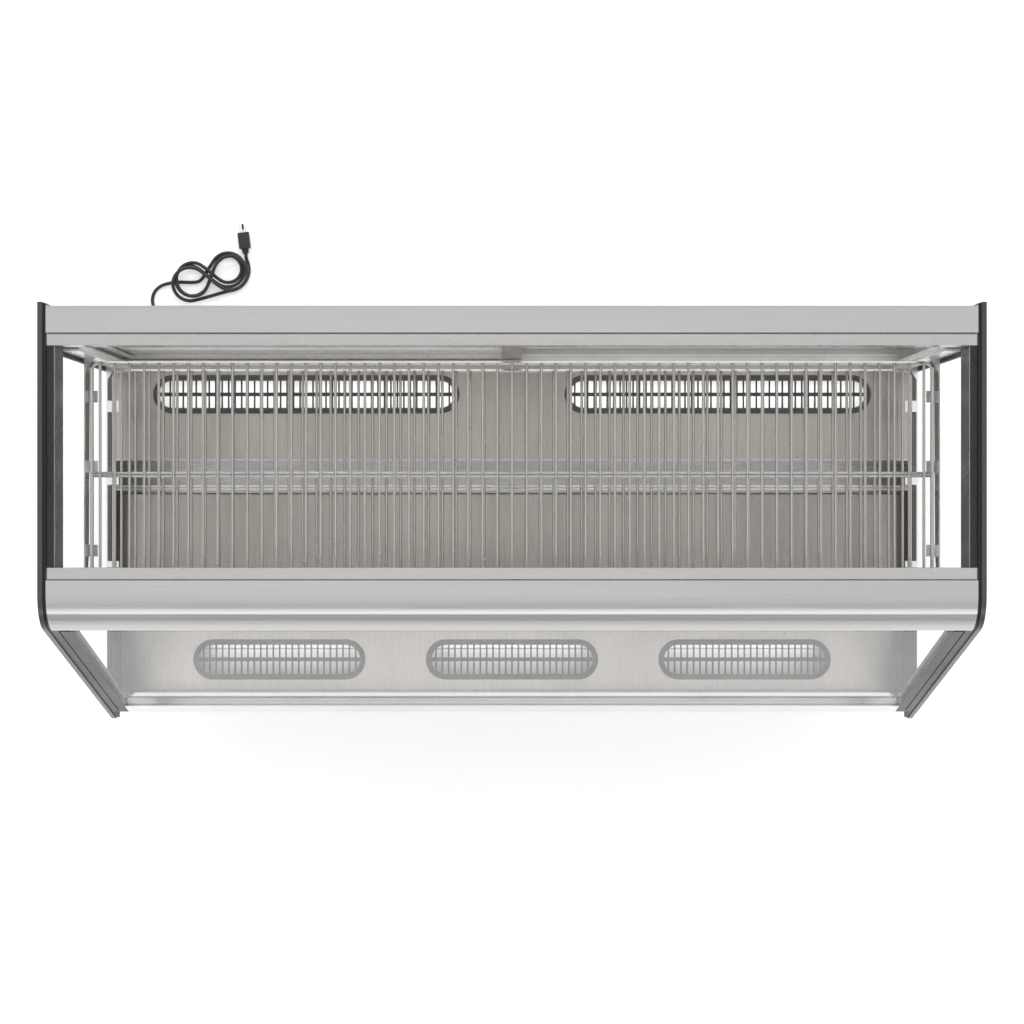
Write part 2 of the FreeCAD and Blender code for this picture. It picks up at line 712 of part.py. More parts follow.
def fan_wheel(x, y, z, radius, blades=5):
    """Hub on a shaft along Y, with pitched blades."""
    hub = rod(fan_hub_r, (x, y, z), (x, y + 14.0, z))
    parts = [hub]
    for i in range(blades):
        blade = box(fan_hub_r - 4.0, radius, -1.1, 1.1, -15.0, 15.0)
        blade.rotate(V(0, 0, 0), V(1, 0, 0), 24)
        blade = blade.common(rod(radius, (0, -8, 0), (0, 8, 0)))
        blade.rotate(V(0, 0, 0), V(0, 1, 0), 360.0 / blades * i)
        blade.translate(V(x, y + 7.0, z))
        parts.append(blade)
    bore = rod(fan_shaft_r + shaft_fit, (x, y - 1, z), (x, y + 15.0, z))
    return fuse(parts).cut(bore)


# ---- Machine compartment ------------------------------------------------------------------
base_z = panel_bottom_z
chassis_top = base_z + 30.0
chassis_bar = 40.0
chassis_sheet = 2.5
compressor_at = (430.0, 60.0)
condenser_x = -150.0
condenser_y = -215.0
condenser_size = (380.0, 60.0, 250.0)


def compressor():
    x, y = compressor_at
    z = chassis_top + 18.0
    can = Part.makeCylinder(82.0, 110.0, V(x, y, z))
    dome = Part.makeSphere(94.0, V(x, y, z + 64.0)).common(Part.makeCylinder(82.0, 80.0, V(x, y, z + 110.0)))
    plate = box(x - 95.0, x + 95.0, y - 60.0, y + 60.0, z - 4.0, z)
    feet = [Part.makeCylinder(13.0, 14.0, V(x + sx * 78.0, y + sy * 44.0, z - 18.0)) for sx in (-1, 1) for sy in (-1, 1)]
    box_part = box(x - 25.0, x + 25.0, y + 70.0, y + 108.0, z + 25.0, z + 85.0)
    return fuse([can, dome, plate, box_part] + feet)


def condenser_coil():
    width, depth, height = condenser_size
    x0 = condenser_x - width / 2
    y0 = condenser_y
    z0 = chassis_top
    fins = [box(x0 + i * 20.0, x0 + i * 20.0 + 1.2, y0, y0 + depth, z0 + 4.0, z0 + height - 4.0) for i in range(1, 19)]
    ends = [box(x, x + 2.0, y0, y0 + depth, z0, z0 + height) for x in (x0, x0 + width - 2.0)]
    tubes = []
    for row in range(2):
        for level in range(8):
            z = z0 + 20.0 + level * 30.0
            y = y0 + 16.0 + row * 28.0
            tubes.append(rod(4.8, (x0 - 6, y, z), (x0 + width + 6, y, z)))
    return ends[0].multiFuse(ends[1:] + fins + tubes)


def condenser_fan_place():
    width, depth, height = condenser_size
    return condenser_x, condenser_y + depth + 34.0, chassis_top + height / 2


def condenser_shroud():
    """Shroud behind the coil, with the motor on a cross strut."""
    width, depth, height = condenser_size
    x, y, z = condenser_fan_place()
    y0 = condenser_y + depth
    x0, x1 = condenser_x - width / 2, condenser_x + width / 2
    outer = box(x0, x1, y0, y0 + 40.0, chassis_top, chassis_top + height)
    inner = box(x0 + 2, x1 - 2, y0 - 1, y0 + 38.0, chassis_top + 2, chassis_top + height - 2)
    hole = rod(112.0, (x, y0 + 30, z), (x, y0 + 50, z))
    strut = box(x0, x1, y0 + 60.0, y0 + 64.0, z - 10.0, z + 10.0)
    legs = [box(a, a + 4.0, y0 + 40.0, y0 + 64.0, z - 10.0, z + 10.0) for a in (x0, x1 - 4.0)]
    motor = rod(34.0, (x, y0 + 64.0, z), (x, y0 + 120.0, z))
    shaft = rod(fan_shaft_r, (x, y + 1.0, z), (x, y0 + 64.0, z))
    return fuse([outer.cut(inner).cut(hole), strut, motor, shaft] + legs)


def bent_tube(points, radius, bend):
    """Tube along straight runs joined by tangent arcs; bend is a radius, or None for as large as fits."""
    pts = [V(*p) for p in points]
    edges = []
    last = pts[0]
    radii = []
    for i in range(1, len(pts) - 1):
        back = pts[i - 1] - pts[i]
        ahead = pts[i + 1] - pts[i]
        short = min(back.Length, ahead.Length)
        turn = math.pi - back.getAngle(ahead)
        r = bend if bend else 0.45 * short / math.tan(turn / 2)
        reach = r * math.tan(turn / 2)
        back.normalize()
        ahead.normalize()
        a = pts[i] + back * reach
        b = pts[i] + ahead * reach
        half = (back + ahead)
        half.normalize()
        middle = pts[i] + half * (r / math.cos(turn / 2) - r)
        edges.append(Part.LineSegment(last, a).toShape())
        edges.append(Part.Arc(a, middle, b).toShape())
        radii.append(r)
        last = b
    edges.append(Part.LineSegment(last, pts[-1]).toShape())
    path = Part.Wire(edges)
    first = pts[1] - pts[0]
    ring = Part.Wire([Part.makeCircle(radius, pts[0], first)])
    tube = path.makePipeShell([ring], True, False)
    ideal = math.pi * radius ** 2 * path.Length
    print("tube: length %.1f, volume ratio %.4f, smallest bend radius %.1f" % (path.Length, tube.Volume / ideal, min(radii)))
    print("radii:", " ".join("%.0f" % r for r in radii))
    return tube


def refrigerant_lines():
    x, y = compressor_at
    z = chassis_top + 18.0
    width, depth, height = condenser_size
    right = condenser_x + width / 2 + 6.2
    hot = bent_tube([(x - 82.5, y, z + 60.0), (x - 160.0, y, z + 60.0), (x - 160.0, y - 140.0, z + 60.0),
                     (x - 160.0, condenser_y + 44.0, chassis_top + 230.0), (right, condenser_y + 44.0, chassis_top + 230.0)],
                    4.0, 30.0)
    cold = bent_tube([(x, y - 82.5, z + 80.0), (x, y - 140.0, z + 80.0), (x, y - 140.0, z + 250.0),
                      (x - 60.0, y - 100.0, z + 250.0), (x - 60.0, y - 100.0, tub_bottom_z - 0.5)], 6.0, 30.0)
    return group([hot, cold])


# ---- Base ---------------------------------------------------------------------------------
def base_chassis():
    """Bottom tray with posts and a top ring of folded sheet that carry the tub."""
    y0 = tub_front_y
    y1 = base_rear_y - 8.0
    wide = chassis_bar
    t = chassis_sheet
    low = tub_bottom_z - 30.0
    tray = box(-plate_in, plate_in, y0, y1, base_z, base_z + t)
    deck = box(-plate_in, plate_in, y0, y1, chassis_top - t, chassis_top)
    rails = [box(-plate_in, plate_in, y, y + t, base_z + t, chassis_top - t) for y in (y0, y1 - t)]
    rails += [box(x, x + t, y0, y1, base_z + t, chassis_top - t) for x in (-plate_in, plate_in - t)]
    posts = []
    for x, inner_x in ((-plate_in, -plate_in + t), (plate_in - wide, plate_in - wide - t)):
        for y, inner_y in ((y0, y0 + t), (y1 - wide, y1 - wide - t)):
            post = box(x, x + wide, y, y + wide, chassis_top, low)
            posts.append(post.cut(box(inner_x, inner_x + wide, inner_y, inner_y + wide, chassis_top - 1, low + 1)))
    ring = box(-plate_in, plate_in, y0, y1, low, tub_bottom_z)
    ring = ring.cut(box(-plate_in + t, plate_in - t, y0 + t, y1 - t, low - 1, tub_bottom_z - t))
    ring = ring.cut(box(-plate_in + wide, plate_in - wide, y0 + wide, y1 - wide, low - 1, tub_bottom_z + 1))
    return fuse([tray, deck] + rails + posts + [ring])


def base_front_panel():
    """Customer side panel with a row of air slots at its foot."""
    body = box(-plate_in, plate_in, front_panel_y, tub_front_y, base_z - 12.0, nose_level() - 2.5)
    hollow = box(-plate_in + 12, plate_in - 12, front_panel_y + 1.5, tub_front_y + 1, base_z + 34.0, nose_level() - 20.0)
    slots = []
    count = int((plate_in - 90.0) / 60.0)
    for i in range(-count, count + 1):
        for row in range(4):
            z = base_z + 60.0 + row * 18.0
            slots.append(box(i * 60.0 - 22.0, i * 60.0 + 22.0, front_panel_y - 1, tub_front_y + 1, z, z + 6.0))
    return body.cut(hollow).cut(group(slots))


def base_side_panel():
    low = base_z - 12.0
    body = box(plate_in, plate_in + 9.0, front_panel_y, tub_rear_y, low, frame_foot_z)
    fold = 10.0
    return body.cut(box(plate_in - 1, plate_in + 7.5, front_panel_y + fold, tub_rear_y - fold, low + fold,
                        frame_foot_z - fold))


def base_rear_panel():
    """Service panel with louvre slots and openings for the switch, the knob and the cord."""
    y1 = base_rear_y
    y0 = y1 - 8.0
    body = box(-plate_in, plate_in, y0, y1, base_z, tub_bottom_z)
    hollow = box(-plate_in + 10, plate_in - 10, y0 - 1, y1 - 1.5, base_z + 10.0, tub_bottom_z - 10.0)
    slots = []
    for column in range(-4, 5):
        for row in range(9):
            x = column * 110.0
            z = base_z + 60.0 + row * 16.0
            slots.append(box(x - 42.0, x + 42.0, y0 - 1, y1 + 1, z, z + 6.0))
    switch = box(switch_x - 11.0, switch_x + 11.0, y0 - 1, y1 + 1, control_z - 15.0, control_z + 15.0)
    knob = rod(4.1, (knob_x, y0 - 1, control_z), (knob_x, y1 + 1, control_z))
    gland = rod(9.0, (gland_x, y0 - 1, gland_z), (gland_x, y1 + 1, gland_z))
    return body.cut(hollow).cut(group(slots)).cut(switch).cut(knob).cut(gland)


control_z = 440.0
switch_x = half_w - 202.0
knob_x = half_w - 142.0
gland_x = 40.0 - half_w
gland_z = 190.0


def rocker_switch():
    """Rocker of the lamp switch; it turns about a line through its middle."""
    y1 = base_rear_y
    body = yz_prism([(y1 - 9.0, control_z - 10.0), (y1 + 1.0, control_z - 13.0), (y1 + 1.8, control_z),
                     (y1 + 4.0, control_z + 12.5), (y1 - 9.0, control_z + 10.0)], switch_x - 7.5, switch_x + 7.5)
    return body


def switch_bezel():
    y1 = base_rear_y
    outer = box(switch_x - 15.0, switch_x + 15.0, y1, y1 + 2.0, control_z - 19.0, control_z + 19.0)
    sleeve = box(switch_x - 10.6, switch_x + 10.6, y1 - 16.0, y1, control_z - 14.6, control_z + 14.6)
    well = box(switch_x - 8.3, switch_x + 8.3, y1 - 13.0, y1 + 3.0, control_z - 14.2, control_z + 14.2)
    return fuse([outer, sleeve]).cut(well)


def thermostat_knob():
    y1 = base_rear_y
    body = rod(18.0, (knob_x, y1 + 1.0, control_z), (knob_x, y1 + 17.0, control_z))
    ridge = box(knob_x - 3.0, knob_x + 3.0, y1 + 15.0, y1 + 22.0, control_z - 16.0, control_z + 16.0)
    shaft = rod(4.05, (knob_x, y1 - 16.0, control_z), (knob_x, y1 + 2.0, control_z))
    pointer = box(knob_x - 0.8, knob_x + 0.8, y1 + 20.0, y1 + 23.0, control_z, control_z + 18.0)
    return fuse([body, ridge, shaft]).cut(pointer)


def feet():
    """Levelling feet: round pad, stem and lock nut."""
    solids = []
    for x in (foot_in - half_w, 0.0, half_w - foot_in):
        for y in (foot_back - rear_y, rear_y - foot_back):
            pad = Part.makeCone(30.0, 26.0, 18.0, V(x, y, 0))
            stem = Part.makeCylinder(12.0, base_z - 18.0, V(x, y, 18.0))
            nut = Part.makeCylinder(19.0, 12.0, V(x, y, base_z - 12.0))
            solids.append(fuse([pad, stem, nut]))
    return group(solids)


# ---- Screws -------------------------------------------------------------------------------
def screws():
    """Low round heads: deck corners and door jambs."""
    heads = []
    for sx in (-1, 1):
        x = sx * (liner_in - 14.0)
        heads.append(Part.makeCone(4.0, 2.4, 1.6, V(x, step_foot_y - 22.0, front_deck_z)))
        for z in (top_z - 353.0, rear_deck_z + 60.0):
            head = Part.makeCone(4.0, 2.4, 1.6, V(sx * (jamb_in + 14.0), rear_rail_y, z), V(0, 1, 0))
            heads.append(head)
    for x in (-plate_in + 30.0, plate_in - 30.0):
        for z in (base_z + 20.0, tub_bottom_z - 20.0):
            heads.append(Part.makeCone(4.5, 2.6, 1.8, V(x, base_rear_y, z), V(0, 1, 0)))
    return group(heads)


# ---- Cord ---------------------------------------------------------------------------------
cord_r = cord_d / 2
relief_length = 34.0
hank_low = 0.4
hank_high = 32.5

# The lead, from the strain relief's tip to the hank, lying on the floor.
lead_route = [
    (-722.0, 365.5, 190.0),
    (-722.5, 392.0, 188.0),
    (-726.0, 417.0, 171.0),
    (-731.0, 431.0, 142.0),
    (-738.0, 436.0, 108.0),
    (-746.0, 437.0, 74.0),
    (-755.0, 441.0, 44.0),
    (-765.0, 451.0, 21.0),
    (-777.0, 466.0, 8.0),
    (-786.0, 486.0, 4.8),
    (-782.0, 508.0, 4.6),
    (-765.0, 523.5, 4.6),
    (-737.0, 529.5, 4.6),
]

# Outline of the loose figure-eight hank, seen from above.
hank_outline = [
    (-689.0, 576.0), (-712.0, 575.0), (-732.0, 563.0), (-742.0, 542.0), (-740.0, 519.0), (-730.0, 491.0),
    (-709.0, 483.0), (-687.0, 484.0), (-620.0, 504.0), (-597.0, 509.0), (-579.0, 524.0), (-569.0, 546.0),
    (-570.0, 569.0), (-574.0, 592.0), (-587.0, 592.0), (-609.0, 598.0), (-635.0, 596.0),
]


def strain_relief():
    """Tapered sleeve with a flange behind the panel, round the cord."""
    y1 = base_rear_y
    flange = rod(13.0, (gland_x, y1, gland_z), (gland_x, y1 + 4.0, gland_z))
    neck = rod(8.9, (gland_x, y1 - 8.0, gland_z), (gland_x, y1, gland_z))
    taper = Part.makeCone(8.0, 5.2, relief_length - 4.0, V(gland_x, y1 + 4.0, gland_z), V(0, 1, 0))
    return fuse([flange, neck, taper])


def cord_lead():
    return bent_tube(lead_route, cord_r, None)


def cord_hank():
    corners = [V(x, y, hank_low) for x, y in hank_outline]
    face = Part.Face(Part.makePolygon(corners + corners[:1]))
    return face.extrude(V(0, 0, hank_high - hank_low))


def plug():
    """Three-pin plug lying beside the hank, tilted a little to its left."""
    tip = V(-580.5, 591.0, 9.0)
    sleeve = Part.makeCone(5.5, 7.5, 14.0, V(0, 0, 0), V(0, 1, 0))
    body = Part.makeBox(25.0, 34.0, 17.0, V(-12.5, 12.0, -8.5))
    body = body.makeFillet(4.0, [e for e in body.Edges if abs(e.tangentAt(0).y) > 0.9])
    blades = [Part.makeBox(1.6, 17.0, 6.4, V(x - 0.8, 46.0, -1.2)) for x in (-6.4, 6.4)]
    earth = Part.makeCylinder(2.3, 20.0, V(0, 46.0, -4.6), V(0, 1, 0))
    solid = fuse([sleeve, body] + blades + [earth])
    solid.rotate(V(0, 0, 0), V(0, 0, 1), 7)
    solid.translate(tip)
    return solid


# ---- All nodes ----------------------------------------------------------------------------
def both_sides(name, maker):
    right = maker()
    return {name + "_left": mirror(right), name + "_right": right}


def build():
    nodes = {}
    nodes.update(both_sides("end_frame", end_frame))
    nodes.update(both_sides("end_trim", end_trim))
    pane = end_pane(0.0, 0.0)
    nodes["end_glass"] = group([pane, mirror(pane)])
    nodes.update(both_sides("side_channel", side_channel))
    gasket = front_gasket()
    nodes["front_gaskets"] = group([gasket, mirror(gasket)])
    nodes["rear_top_rail"] = rear_top_rail()
    nodes["front_top_rail"] = front_top_rail()
    nodes["top_glass"] = top_glass()
    nodes["light_bar"] = light_bar()
    nodes["light_diffuser"] = light_diffuser()
    nodes["front_glass"] = front_glass()
    nodes["front_glass_clamp"] = front_glass_clamp()
    nodes["front_sill"] = front_sill()
    nodes["nose_trim"] = nose_trim()
    nodes["door_track_lower"] = door_track_lower()
    nodes["door_track_upper"] = door_track_upper()
    jamb = door_jamb()
    nodes["door_jambs"] = group([jamb, mirror(jamb)])
    nodes["door_left_frame"] = door_frame(door_inner_y)
    nodes["door_left_glass"] = door_pane(door_inner_y)
    nodes["door_right_frame"] = mirror(door_frame(door_outer_y))
    nodes["door_right_glass"] = mirror(door_pane(door_outer_y))
    post = pilaster()
    nodes["pilasters"] = group([post, mirror(post)])
    for level, name in enumerate(("lower", "upper")):
        nodes.update(both_sides("shelf_bracket_" + name, lambda: shelf_bracket(level)))
        nodes["shelf_" + name] = shelf(level)
    nodes["rear_deck"] = rear_deck()
    nodes["front_deck"] = front_deck()
    vents = rear_vents() + front_vents()
    nodes["vent_rings"] = group([vent_ring(v) for v in vents])
    nodes["vent_grilles"] = group([vent_grille(v) for v in vents])
    nodes["tub_liner"] = tub_liner()
    nodes["tub_shell"] = tub_shell()
    nodes["evaporator_coil"] = evaporator_coil()
    nodes["fan_panel"] = fan_panel()
    nodes["fan_motors"] = fan_motors()
    for sx, side in ((-1, "left"), (1, "right")):
        nodes["evaporator_fan_" + side] = fan_wheel(sx * evap_fan_x, step_top_y - 3.0, evap_fan_z(), fan_radius)
    nodes["compressor"] = compressor()
    nodes["condenser_coil"] = condenser_coil()
    nodes["condenser_shroud"] = condenser_shroud()
    x, y, z = condenser_fan_place()
    nodes["condenser_fan"] = fan_wheel(x, y, z, 105.0)
    nodes["refrigerant_lines"] = refrigerant_lines()
    nodes["base_chassis"] = base_chassis()
    nodes["base_front_panel"] = base_front_panel()
    side = base_side_panel()
    nodes["base_side_panels"] = group([side, mirror(side)])
    nodes["base_rear_panel"] = base_rear_panel()
    nodes["feet"] = feet()
    nodes["switch_bezel"] = switch_bezel()
    nodes["rocker_switch"] = rocker_switch()
    nodes["thermostat_knob"] = thermostat_knob()
    nodes["strain_relief"] = strain_relief()
    nodes["cord_lead"] = cord_lead()
    nodes["cord_hank"] = cord_hank()
    nodes["plug"] = plug()
    nodes["screws"] = screws()
    return nodes


os.makedirs("parts", exist_ok=True)
parts = build()
for node_name, shape in parts.items():
    solids = len(shape.Solids)
    if not shape.isValid() or solids == 0:
        print("CHECK", node_name, "valid", shape.isValid(), "solids", solids)
    shape.exportStep("parts/" + node_name + ".step")
print(len(parts), "nodes")
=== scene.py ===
import json
import math

import bpy
import bmesh
from mathutils import Matrix, Vector


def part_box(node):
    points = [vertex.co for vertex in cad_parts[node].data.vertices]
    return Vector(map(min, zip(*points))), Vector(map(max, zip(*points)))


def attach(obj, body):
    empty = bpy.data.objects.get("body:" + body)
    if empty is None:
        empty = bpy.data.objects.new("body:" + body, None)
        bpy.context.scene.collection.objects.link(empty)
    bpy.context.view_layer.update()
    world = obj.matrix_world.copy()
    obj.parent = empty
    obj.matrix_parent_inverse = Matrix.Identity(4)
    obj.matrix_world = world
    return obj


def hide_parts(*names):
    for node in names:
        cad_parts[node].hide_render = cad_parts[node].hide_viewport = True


# A refrigerated deli case seen from straight above. Metres, +Z up, -Y is the customer's side.

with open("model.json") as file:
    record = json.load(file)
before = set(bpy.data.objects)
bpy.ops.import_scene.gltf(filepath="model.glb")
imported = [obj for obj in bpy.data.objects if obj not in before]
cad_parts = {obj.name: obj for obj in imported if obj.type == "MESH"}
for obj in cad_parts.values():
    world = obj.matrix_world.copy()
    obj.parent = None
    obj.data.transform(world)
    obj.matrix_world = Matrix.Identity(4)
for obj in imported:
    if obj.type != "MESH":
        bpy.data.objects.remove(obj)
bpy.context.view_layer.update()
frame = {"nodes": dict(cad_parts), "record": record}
nodes = frame["nodes"]
scene = bpy.context.scene
scene.view_settings.view_transform = "Standard"


# ---- Camera, floor and light --------------------------------------------------------------
def add_camera():
    data = bpy.data.cameras.new("camera")
    data.lens = 76.99
    data.sensor_width = 36.0
    camera = bpy.data.objects.new("camera", data)
    camera.location = (0.0, 0.0279, 4.784)
    scene.collection.objects.link(camera)
    scene.camera = camera


def add_area(name, location, target, size, power):
    data = bpy.data.lights.new(name, "AREA")
    data.shape = "RECTANGLE"
    data.size = size[0]
    data.size_y = size[1]
    data.energy = power
    lamp = bpy.data.objects.new(name, data)
    lamp.location = location
    lamp.rotation_euler = (Vector(target) - Vector(location)).to_track_quat("-Z", "Y").to_euler()
    lamp.visible_camera = False
    scene.collection.objects.link(lamp)


def add_lights():
    """Two softboxes over the case and a dim lamp under each air vent, which shows its bars."""
    rear_vent_x = 0.3585
    front_vent_x = 0.445
    add_area("front_softbox", (0.0, -3.1, 3.2), (0.0, -0.2, 1.0), (5.0, 0.9), 18.0)
    add_area("rear_softbox", (0.0, 3.2, 2.6), (0.0, 0.3, 0.8), (5.0, 1.5), 60.0)
    for x in (-rear_vent_x, rear_vent_x):
        add_area("rear_vent_lamp", (x, 0.2454, 0.7300), (x, 0.2454, 0.6), (0.60, 0.05), 0.16)
    for x in (-front_vent_x, 0.0, front_vent_x):
        add_area("front_vent_lamp", (x, -0.2300, 0.6330), (x, -0.2511, 0.5), (0.30, 0.05), 0.10)


def add_world():
    """Soft sky: brightest overhead and dimmer down to the horizon, where it stays light grey."""
    world = bpy.data.worlds.new("sky")
    scene.world = world
    world.use_nodes = True
    tree = world.node_tree
    coords = tree.nodes.new("ShaderNodeTexCoord")
    split = tree.nodes.new("ShaderNodeSeparateXYZ")
    ramp = tree.nodes.new("ShaderNodeValToRGB")
    tree.links.new(coords.outputs["Generated"], split.inputs[0])
    tree.links.new(split.outputs["Z"], ramp.inputs[0])
    stops = ramp.color_ramp.elements
    stops[0].position = 0.0
    stops[0].color = (0.60, 0.60, 0.60, 1)
    stops[1].position = 1.0
    stops[1].color = (1.10, 1.10, 1.095, 1)
    middle = stops.new(0.80)
    middle.color = (0.82, 0.82, 0.825, 1)
    back = tree.nodes["Background"]
    tree.links.new(ramp.outputs["Color"], back.inputs["Color"])
    back.inputs["Strength"].default_value = 1.0


# ---- Materials ----------------------------------------------------------------------------
class Shader:
    """A Principled material with helpers for object-space patterns."""

    def __init__(self, name):
        self.material = bpy.data.materials.new(name)
        self.material.use_nodes = True
        self.tree = self.material.node_tree
        self.body = self.tree.nodes["Principled BSDF"]
        self.place = self.node("ShaderNodeTexCoord").outputs["Object"]

    def node(self, kind, **values):
        made = self.tree.nodes.new(kind)
        for key, value in values.items():
            setattr(made, key, value)
        return made

    def link(self, source, target):
        self.tree.links.new(source, target)

    def set(self, **values):
        for key, value in values.items():
            self.body.inputs[key.replace("_", " ")].default_value = value

    def noise(self, scale, detail=3.0, roughness=0.5):
        """Noise whose size along each axis is set by scale, in cycles per metre."""
        stretch = self.node("ShaderNodeMapping")
        stretch.inputs["Scale"].default_value = scale
        self.link(self.place, stretch.inputs["Vector"])
        pattern = self.node("ShaderNodeTexNoise")
        pattern.inputs["Scale"].default_value = 1.0
        pattern.inputs["Detail"].default_value = detail
        pattern.inputs["Roughness"].default_value = roughness
        self.link(stretch.outputs[0], pattern.inputs["Vector"])
        return pattern.outputs[0]

    def spread(self, value, low, high, near=0.3, far=0.7):
        """Map a noise value to a range."""
        fit = self.node("ShaderNodeMapRange")
        for key, number in (("From Min", near), ("From Max", far), ("To Min", low), ("To Max", high)):
            fit.inputs[key].default_value = number
        self.link(value, fit.inputs["Value"])
        return fit.outputs[0]

    def mix(self, factor, first, second, blend="MIX"):
        """Mix two colours; each is a socket or a tuple."""
        mixer = self.node("ShaderNodeMix", data_type="RGBA", blend_type=blend)
        for key, value in ((0, factor), (6, first), (7, second)):
            if isinstance(value, (tuple, float)):
                mixer.inputs[key].default_value = (*value, 1.0) if isinstance(value, tuple) else value
            else:
                self.link(value, mixer.inputs[key])
        return mixer.outputs[2]

    def math(self, operation, first, second=0.0, third=0.0):
        step = self.node("ShaderNodeMath", operation=operation)
        for key, value in enumerate((first, second, third)):
            if isinstance(value, float):
                step.inputs[key].default_value = value
            else:
                self.link(value, step.inputs[key])
        return step.outputs[0]

    def bump(self, height, distance, strength=1.0):
        raised = self.node("ShaderNodeBump")
        raised.inputs["Distance"].default_value = distance
        raised.inputs["Strength"].default_value = strength
        self.link(height, raised.inputs["Height"])
        self.link(raised.outputs[0], self.body.inputs["Normal"])

    def worn(self, colour, worn_colour, amount):
        """Sparse small rubbed spots."""
        spots = self.spread(self.noise((55.0, 55.0, 55.0), 6.0, 0.7), 0.0, amount, 0.66, 0.74)
        return self.mix(spots, colour, worn_colour)

    def upward(self):
        """1 where the surface faces up, 0 where it is upright; masks the painted dark reflection on upright
        faces.
        """
        split = self.node("ShaderNodeSeparateXYZ")
        self.link(self.node("ShaderNodeNewGeometry").outputs["Normal"], split.inputs[0])
        return self.spread(split.outputs["Z"], 0.0, 1.0, 0.4, 0.9)


def shade(colour, factor):
    return tuple(min(1.0, c * factor) for c in colour)


def brushed_metal(name, colour, roughness, along, contrast=0.10, bands=None, metallic=1.0, grain=1.0):
    """Metal with fine brush lines along one axis (0 X, 1 Y, 2 Z) and soft broad streaks."""
    look = Shader(name)
    fine = [1400.0 * grain] * 3
    fine[along] = 6.0
    broad = [26.0] * 3
    broad[along] = 1.2
    lines = look.noise(fine, 4.0, 0.6)
    streaks = look.noise(broad if bands is None else bands, 2.0, 0.4)
    base = look.mix(look.spread(streaks, 0.0, 1.0), shade(colour, 1 - contrast), shade(colour, 1 + contrast))
    tint = look.mix(look.spread(lines, 0.0, 1.0), (0.90, 0.90, 0.90), (1.0, 1.0, 1.0))
    look.link(look.mix(1.0, base, tint, "MULTIPLY"), look.body.inputs["Base Color"])
    look.link(look.spread(lines, roughness * 0.8, roughness * 1.25), look.body.inputs["Roughness"])
    look.set(Metallic=metallic, Anisotropic=0.4)
    look.bump(lines, 0.00003, 0.5)
    return look.material


def polished_metal(name, colour, roughness=0.12, cloud=8.0, sides=None, scratches=0.35):
    """Smooth steel or chrome with faint cloudy smears and fine scratches; given sides, upright faces take
    that colour as a painted dark reflection.
    """
    look = Shader(name)
    smear = look.noise((cloud, cloud * 1.7, cloud), 4.0, 0.55)
    scratch = look.noise((900.0, 35.0, 600.0), 3.0, 0.7)
    base = look.mix(look.spread(smear, 0.0, 1.0), shade(colour, 0.93), shade(colour, 1.05))
    # Upright faces get the sides colour: a painted dark reflection of what lies below them.
    if sides:
        base = look.mix(look.upward(), sides, base)
    look.link(base, look.body.inputs["Base Color"])
    look.link(look.spread(smear, roughness * 0.7, roughness * 1.5), look.body.inputs["Roughness"])
    look.set(Metallic=1.0)
    look.bump(scratch, 0.00002, scratches)
    return look.material


def painted(name, colour, roughness, coat=0.0, metallic=0.0, specular=0.5, edge=(0.10, 0.10, 0.10)):
    """Paint or powder coat: faint orange peel, dust-like roughness changes and sparse rubbed spots."""
    look = Shader(name)
    skin = look.noise((420.0, 420.0, 420.0), 2.0, 0.5)
    dust = look.noise((7.0, 7.0, 7.0), 5.0, 0.6)
    base = look.mix(look.spread(dust, 0.0, 1.0), shade(colour, 0.88), shade(colour, 1.12))
    look.link(look.worn(base, edge, 0.35), look.body.inputs["Base Color"])
    look.link(look.spread(dust, roughness * 0.85, roughness * 1.2), look.body.inputs["Roughness"])
    look.set(Metallic=metallic, Coat_Weight=coat, Coat_Roughness=0.08, Specular_IOR_Level=specular)
    look.bump(skin, 0.00004, 0.6)
    return look.material


def moulded(name, colour, roughness, grain=900.0, depth=0.00006):
    """Moulded plastic or rubber with a fine pebble grain."""
    look = Shader(name)
    pebbles = look.node("ShaderNodeTexVoronoi", feature="SMOOTH_F1")
    pebbles.inputs["Scale"].default_value = grain
    look.link(look.place, pebbles.inputs["Vector"])
    dust = look.noise((12.0, 12.0, 12.0), 5.0, 0.6)
    look.link(look.mix(look.spread(dust, 0.0, 1.0), shade(colour, 0.85), shade(colour, 1.25)),
              look.body.inputs["Base Color"])
    look.link(look.spread(dust, roughness * 0.85, min(1.0, roughness * 1.2)), look.body.inputs["Roughness"])
    look.bump(pebbles.outputs["Distance"], depth, 0.5)
    return look.material


def pane(name, tint, tilt_gain=0.96, floor=0.035, roughness=0.02):
    """Clear sheet glass: reflects more at a glancing angle, with faint smears."""
    look = Shader(name)
    smear = look.noise((5.0, 9.0, 5.0), 4.0, 0.6)
    facing = look.node("ShaderNodeLayerWeight").outputs["Facing"]
    glance = look.math("POWER", facing, 5.0)
    cover = look.math("MULTIPLY_ADD", glance, tilt_gain, floor)
    look.link(look.math("MULTIPLY", cover, look.spread(smear, 0.92, 1.08)), look.body.inputs["Alpha"])
    look.link(look.mix(look.spread(smear, 0.0, 1.0), shade(tint, 0.97), tint), look.body.inputs["Base Color"])
    look.link(look.spread(smear, roughness * 0.5, roughness * 1.6), look.body.inputs["Roughness"])
    look.set(Metallic=1.0)
    return look.material


def galvanised(name, colour):
    """Zinc coated sheet with a crystal pattern."""
    look = Shader(name)
    crystals = look.node("ShaderNodeTexVoronoi", feature="F1")
    crystals.inputs["Scale"].default_value = 70.0
    look.link(look.place, crystals.inputs["Vector"])
    split = look.node("ShaderNodeSeparateColor")
    look.link(crystals.outputs["Color"], split.inputs[0])
    value = split.outputs[0]
    look.link(look.mix(value, shade(colour, 0.82), shade(colour, 1.15)), look.body.inputs["Base Color"])
    look.link(look.spread(value, 0.28, 0.48, 0.0, 1.0), look.body.inputs["Roughness"])
    look.set(Metallic=0.9)
    return look.material


